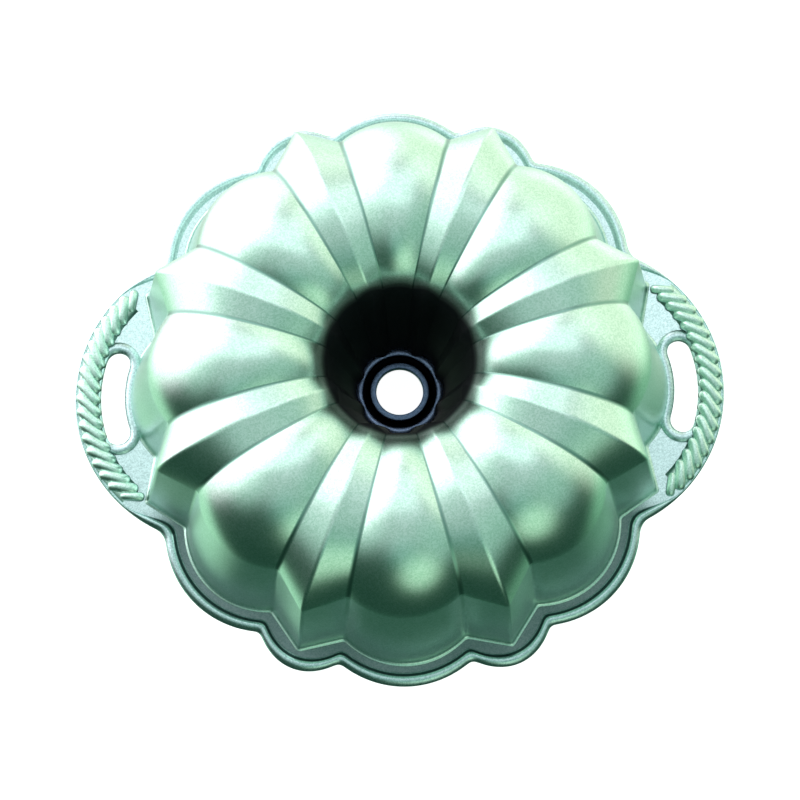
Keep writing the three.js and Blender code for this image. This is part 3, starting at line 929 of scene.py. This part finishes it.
# Satin cast metal: fine bright grain, slow mottling of colour and gloss.
def castMetal(name):
    dark, light, roughness, rippleStrength = finishes[name]
    material, tree, shader = newMaterial(name)
    link = tree.links.new
    spot = addNode(tree, "ShaderNodeTexCoord").outputs["Object"]
    flakes = addNode(tree, "ShaderNodeTexVoronoi", Scale=castGrain["flakes"])
    grain = addNode(tree, "ShaderNodeSeparateColor")
    ripple = addNode(tree, "ShaderNodeTexNoise", Scale=castGrain["ripples"], Detail=1.0, Roughness=0.5)
    mottle = addNode(tree, "ShaderNodeTexNoise", Scale=castGrain["patches"], Detail=4.0, Roughness=0.6)
    for texture in (flakes, ripple, mottle):
        link(spot, texture.inputs["Vector"])
    link(flakes.outputs["Color"], grain.inputs["Color"])
    colour = addNode(tree, "ShaderNodeValToRGB")
    for element, place, tone in zip(colour.color_ramp.elements, (0.15, 0.85), (dark, light)):
        element.position = place
        element.color = (*tone, 1)
    grainShare = wireMath(tree, "MULTIPLY", grain.outputs["Red"], 1 - castGrain["patchShare"])
    mottleShare = wireMath(tree, "MULTIPLY", mottle.outputs["Fac"], castGrain["patchShare"])
    link(wireMath(tree, "ADD", grainShare, mottleShare), colour.inputs["Fac"])
    link(colour.outputs["Color"], shader.inputs["Base Color"])
    gloss = addNode(tree, "ShaderNodeMapRange")
    gloss.inputs["From Min"].default_value = 0.3
    gloss.inputs["From Max"].default_value = 0.7
    gloss.inputs["To Min"].default_value = roughness - castGrain["glossChange"]
    gloss.inputs["To Max"].default_value = roughness + castGrain["glossChange"]
    link(mottle.outputs["Fac"], gloss.inputs["Value"])
    link(gloss.outputs["Result"], shader.inputs["Roughness"])
    bump = addNode(tree, "ShaderNodeBump")
    bump.inputs["Strength"].default_value = rippleStrength
    bump.inputs["Distance"].default_value = castGrain["rippleDepth"]
    link(ripple.outputs["Fac"], bump.inputs["Height"])
    link(bump.outputs["Normal"], shader.inputs["Normal"])
    shader.inputs["Metallic"].default_value = 1.0
    return material


# A share from 0 to 1 that rises smoothly from one value to another.
def fade(tree, value, start, end, low=0.0, high=1.0):
    node = addNode(tree, "ShaderNodeMapRange", interpolation_type="SMOOTHSTEP")
    for label, number in (("From Min", start), ("From Max", end), ("To Min", low), ("To Max", high)):
        node.inputs[label].default_value = number
    tree.links.new(value, node.inputs["Value"])
    return node.outputs["Result"]


# Puts another colour over a material's own by a share.
def tint(material, share, colour):
    tree = material.node_tree
    base = tree.nodes["Principled BSDF"].inputs["Base Color"]
    mix = addNode(tree, "ShaderNodeMix", data_type="RGBA")
    tree.links.new(share, mix.inputs["Factor"])
    tree.links.new(base.links[0].from_socket, mix.inputs["A"])
    mix.inputs["B"].default_value = (*colour, 1)
    tree.links.new(mix.outputs["Result"], base)


# Moves a material's roughness towards another by a share.
def roughen(material, share, roughness):
    tree = material.node_tree
    base = tree.nodes["Principled BSDF"].inputs["Roughness"]
    mix = addNode(tree, "ShaderNodeMix", data_type="FLOAT")
    tree.links.new(share, mix.inputs["Factor"])
    tree.links.new(base.links[0].from_socket, mix.inputs["A"])
    mix.inputs["B"].default_value = roughness
    tree.links.new(mix.outputs["Result"], base)


def splitPlace(tree):
    apart = addNode(tree, "ShaderNodeSeparateXYZ")
    tree.links.new(addNode(tree, "ShaderNodeTexCoord").outputs["Object"], apart.inputs[0])
    return apart.outputs


# How long a flat step of x and y is.
def flatLength(tree, x, y):
    flat = addNode(tree, "ShaderNodeCombineXYZ")
    tree.links.new(x, flat.inputs["X"])
    tree.links.new(y, flat.inputs["Y"])
    reach = addNode(tree, "ShaderNodeVectorMath", operation="LENGTH")
    tree.links.new(flat.outputs[0], reach.inputs[0])
    return reach.outputs["Value"]


def meshMark(tree, mark):
    return addNode(tree, "ShaderNodeAttribute", attribute_name=mark).outputs["Fac"]


# A dark non-stick coat covers the shell's inside. Over the centre tube the same near-black is painted shade
# of the deep funnel; it fades in over the throat.
coatAndFunnelShade = {"colour": (0.004, 0.006, 0.007), "roughness": 0.7, "from": 0.0360, "to": 0.0315, "shine": 0.2}


def coatLiningAndShadeTube(material):
    tree = material.node_tree
    shader = tree.nodes["Principled BSDF"]
    place = splitPlace(tree)
    funnelShade = fade(tree, flatLength(tree, place["X"], place["Y"]), coatAndFunnelShade["from"], coatAndFunnelShade["to"])
    share = wireMath(tree, "MAXIMUM", funnelShade, meshMark(tree, "lining"))
    tint(material, share, coatAndFunnelShade["colour"])
    roughen(material, share, coatAndFunnelShade["roughness"])
    bare = fade(tree, share, 1.0, 0.9)  # the metal's look ends where the coat or the painted funnel shade is full
    tree.links.new(bare, shader.inputs["Metallic"])
    shader.inputs["Specular IOR Level"].default_value = coatAndFunnelShade["shine"]


# The ledge's painted shadow with a rougher finish: it starts where Y over X passes these slopes, and is
# strongest at the front, where it stands in for the pan's own shadow.
ledgeShadow = {
    "slopes": (0.42, 0.58),
    "rearY": 0.06,
    "frontY": -0.04,
    "rearShare": 0.08,
    "frontShare": 0.7,
    "colour": (0.04, 0.085, 0.09),
    "roughness": 0.75,
}


# The flat ledge round the wall gets painted shadow, darkest at the front, and a rougher finish; both
# handles' plates get neither.
def dullLedge(material):
    tree = material.node_tree
    place = splitPlace(tree)
    steep = wireMath(tree, "ABSOLUTE", wireMath(tree, "DIVIDE", place["Y"], place["X"]))
    tone = ledgeShadow
    onLedge = fade(tree, steep, *tone["slopes"])
    front = fade(tree, place["Y"], tone["rearY"], tone["frontY"], tone["rearShare"], tone["frontShare"])
    share = wireMath(tree, "MULTIPLY", onLedge, front)
    tint(material, share, tone["colour"])
    roughen(material, share, tone["roughness"])


# Painted shade low down: between the strands on a rope's inner side, and in the tube floor's groove.
ropeGrooveShade = {"high": 0.0048, "low": 0.0038, "outer": 1.5, "inner": 8, "colour": (0.08, 0.16, 0.135)}
floorGrooveShade = {"high": 0.0047, "low": 0.0038, "colour": (0.004, 0.006, 0.010)}


# Painted shade between the strands: dark on the rope's inner side, fading outward.
def shadeRopeGrooves(material):
    tree = material.node_tree
    place = splitPlace(tree)
    across = wireMath(tree, "SUBTRACT", wireMath(tree, "ABSOLUTE", place["X"]), handleCentre * mm)
    outer = (handle["radius"] - ropeGrooveShade["outer"]) * mm
    inner = (handle["radius"] - ropeGrooveShade["inner"]) * mm
    inside = fade(tree, flatLength(tree, across, place["Y"]), outer, inner)
    low = fade(tree, place["Z"], ropeGrooveShade["high"], ropeGrooveShade["low"])
    tint(material, wireMath(tree, "MULTIPLY", low, inside), ropeGrooveShade["colour"])


# Painted shade in the tube floor's groove: near black below the floor's top.
def shadeFloorGroove(material):
    tree = material.node_tree
    low = fade(tree, splitPlace(tree)["Z"], floorGrooveShade["high"], floorGrooveShade["low"])
    tint(material, low, floorGrooveShade["colour"])


# Painted shade that follows a mark on the mesh: in the crown's creases and on the rim bead's inner flank.
paintedShadeTones = {"crease": (0.20, 0.37, 0.31), "flank": (0.03, 0.06, 0.06)}


def paintMarkShade(material, mark):
    tint(material, meshMark(material.node_tree, mark), paintedShadeTones[mark])


materials = {name: castMetal(name) for name in finishes}
paintMarkShade(materials["castSilver"], "crease")
coatLiningAndShadeTube(materials["castSilver"])
shadeFloorGroove(materials["darkTube"])
shadeRopeGrooves(materials["ropeSilver"])
paintMarkShade(materials["satinBead"], "flank")
dullLedge(materials["dullLedge"])
print("metals made,", len(materials))

panShell = makeShell(materials["castSilver"])
print("shell made,", len(panShell.data.polygons), "faces")
slotBeads = makeSlotBeads(materials["satinRim"])
print("slot beads made,", len(slotBeads["right"].data.polygons), "faces each")
ropes = makeRopes(materials["ropeSilver"])
print("ropes made,", len(ropes["right"].data.polygons), "faces each")

finishPiece(panShell, materials["castSilver"], "cast_silver", "fluted_skirt", "fluted_crown", "centre_tube")
finishPiece(rimBead, materials["satinBead"], "satin_rim", "rear_rim_bead", "front_rim_bead")
finishPiece(rimFlange, materials["dullLedge"], "satin_rim", "rear_rim_ledge", "front_rim_ledge",
            "right_handle_plate", "left_handle_plate")
finishPiece(tubeFloorPiece, materials["darkTube"], "dark_tube", "tube_end_plate")
finishPiece(tubeCollar, materials["collarBlue"], "satin_rim", "tube_end_collar")
for side in ("right", "left"):
    finishPiece(slotBeads[side], materials["satinRim"], "satin_rim", side + "_slot_bead")
    finishPiece(ropes[side], materials["ropeSilver"], "rope_silver", side + "_rope_grip")
print("materials on")


# The table, the room and its lights.
studio = {
    "floorSize": 40.0,
    "floorColour": (0.95, 0.95, 0.95),
    "floorRoughness": 0.9,
    "floorGlow": 0.9,
    "shade": (0.016, 0.056, 0.038),  # what the metal sees where no light is
    # each soft light: the way it stands from +X and up from the table, its half width and its soft edge
    # in degrees, and its colour
    "lights": {
        "rearLeft": (138, 5, 48, 14, (2.2, 2.0, 2.1)),
        "rearRight": (44, 0, 46, 14, (1.06, 1.10, 0.90)),
        "rearHigh": (58, 54, 28, 22, (0.46, 0.44, 0.50)),
        "high": (-150, 80, 28, 18, (0.50, 0.56, 0.56)),
        "front": (-72, 22, 20, 12, (0.70, 0.92, 0.70)),
        "frontLeft": (-172, 38, 20, 14, (0.44, 0.58, 0.53)),
        "frontRight": (-22, 42, 26, 16, (0.36, 0.52, 0.46)),
        "frontHigh": (-90, 50, 17, 12, (0.10, 0.24, 0.21)),
        "below": (-90, -88, 34, 6, (0.03, 0.07, 0.05)),
        "belowLeft": (-178, -48, 22, 9, (0.54, 0.86, 0.62)),
        "belowRight": (5, -40, 22, 14, (0.24, 0.48, 0.31)),
        "belowRear": (85, -52, 30, 14, (0.85, 0.95, 0.84)),
    },
    # the softbox overhead: its middle, its width along X and Y, its power and its colour
    "softbox": ((-0.12, 0.50, 0.95), (1.2, 0.80), 2.2, (0.93, 1.0, 1.0)),
}


# The floor glows a little and is left out of the metal's reflections, so that it can be white.
def makeFloor():
    size = studio["floorSize"]
    points = [(-size, -size, 0), (size, -size, 0), (size, size, 0), (-size, size, 0)]
    mesh = bpy.data.meshes.new("floor")
    mesh.from_pydata(points, [], [(0, 1, 2, 3)])
    floor = addObject("floor", mesh)
    material, tree, shader = newMaterial("palePaper")
    shader.inputs["Base Color"].default_value = (*studio["floorColour"], 1)
    shader.inputs["Roughness"].default_value = studio["floorRoughness"]
    shader.inputs["Emission Color"].default_value = (1, 1, 1, 1)
    shader.inputs["Emission Strength"].default_value = studio["floorGlow"]
    mesh.materials.append(material)
    floor.visible_glossy = False


# The studio is a dark room with large soft lights, all far away.
def makeWorld():
    world = bpy.data.worlds.new("studio")
    bpy.context.scene.world = world
    world.use_nodes = True
    tree = world.node_tree
    link = tree.links.new
    toward = addNode(tree, "ShaderNodeTexCoord").outputs["Generated"]
    total = None
    for name, (around, height, halfWidth, edge, colour) in studio["lights"].items():
        a, e = math.radians(around), math.radians(height)
        dot = addNode(tree, "ShaderNodeVectorMath", operation="DOT_PRODUCT")
        dot.inputs[1].default_value = (math.cos(e) * math.cos(a), math.cos(e) * math.sin(a), math.sin(e))
        link(toward, dot.inputs[0])
        away = wireMath(tree, "ARCCOSINE", dot.outputs["Value"])
        share = fade(tree, away, math.radians(halfWidth + edge), math.radians(halfWidth - edge))
        glow = addNode(tree, "ShaderNodeVectorMath", operation="SCALE", label=name)
        glow.inputs[0].default_value = colour
        link(share, glow.inputs["Scale"])
        add = addNode(tree, "ShaderNodeVectorMath", operation="ADD")
        add.inputs[0].default_value = studio["shade"]
        if total:
            link(total, add.inputs[0])
        link(glow.outputs["Vector"], add.inputs[1])
        total = add.outputs["Vector"]
    link(total, tree.nodes["Background"].inputs["Color"])


def makeSoftbox():
    place, size, power, colour = studio["softbox"]
    data = bpy.data.lights.new("softbox", "AREA")
    data.shape = "RECTANGLE"
    data.size, data.size_y = size
    data.energy = power
    data.color = colour
    light = bpy.data.objects.new("softbox", data)
    light.location = place
    bpy.context.scene.collection.objects.link(light)


makeFloor()
makeWorld()
makeSoftbox()
print("floor and", len(studio["lights"]) + 1, "lights made")
bpy.context.scene.view_settings.view_transform = "Standard"
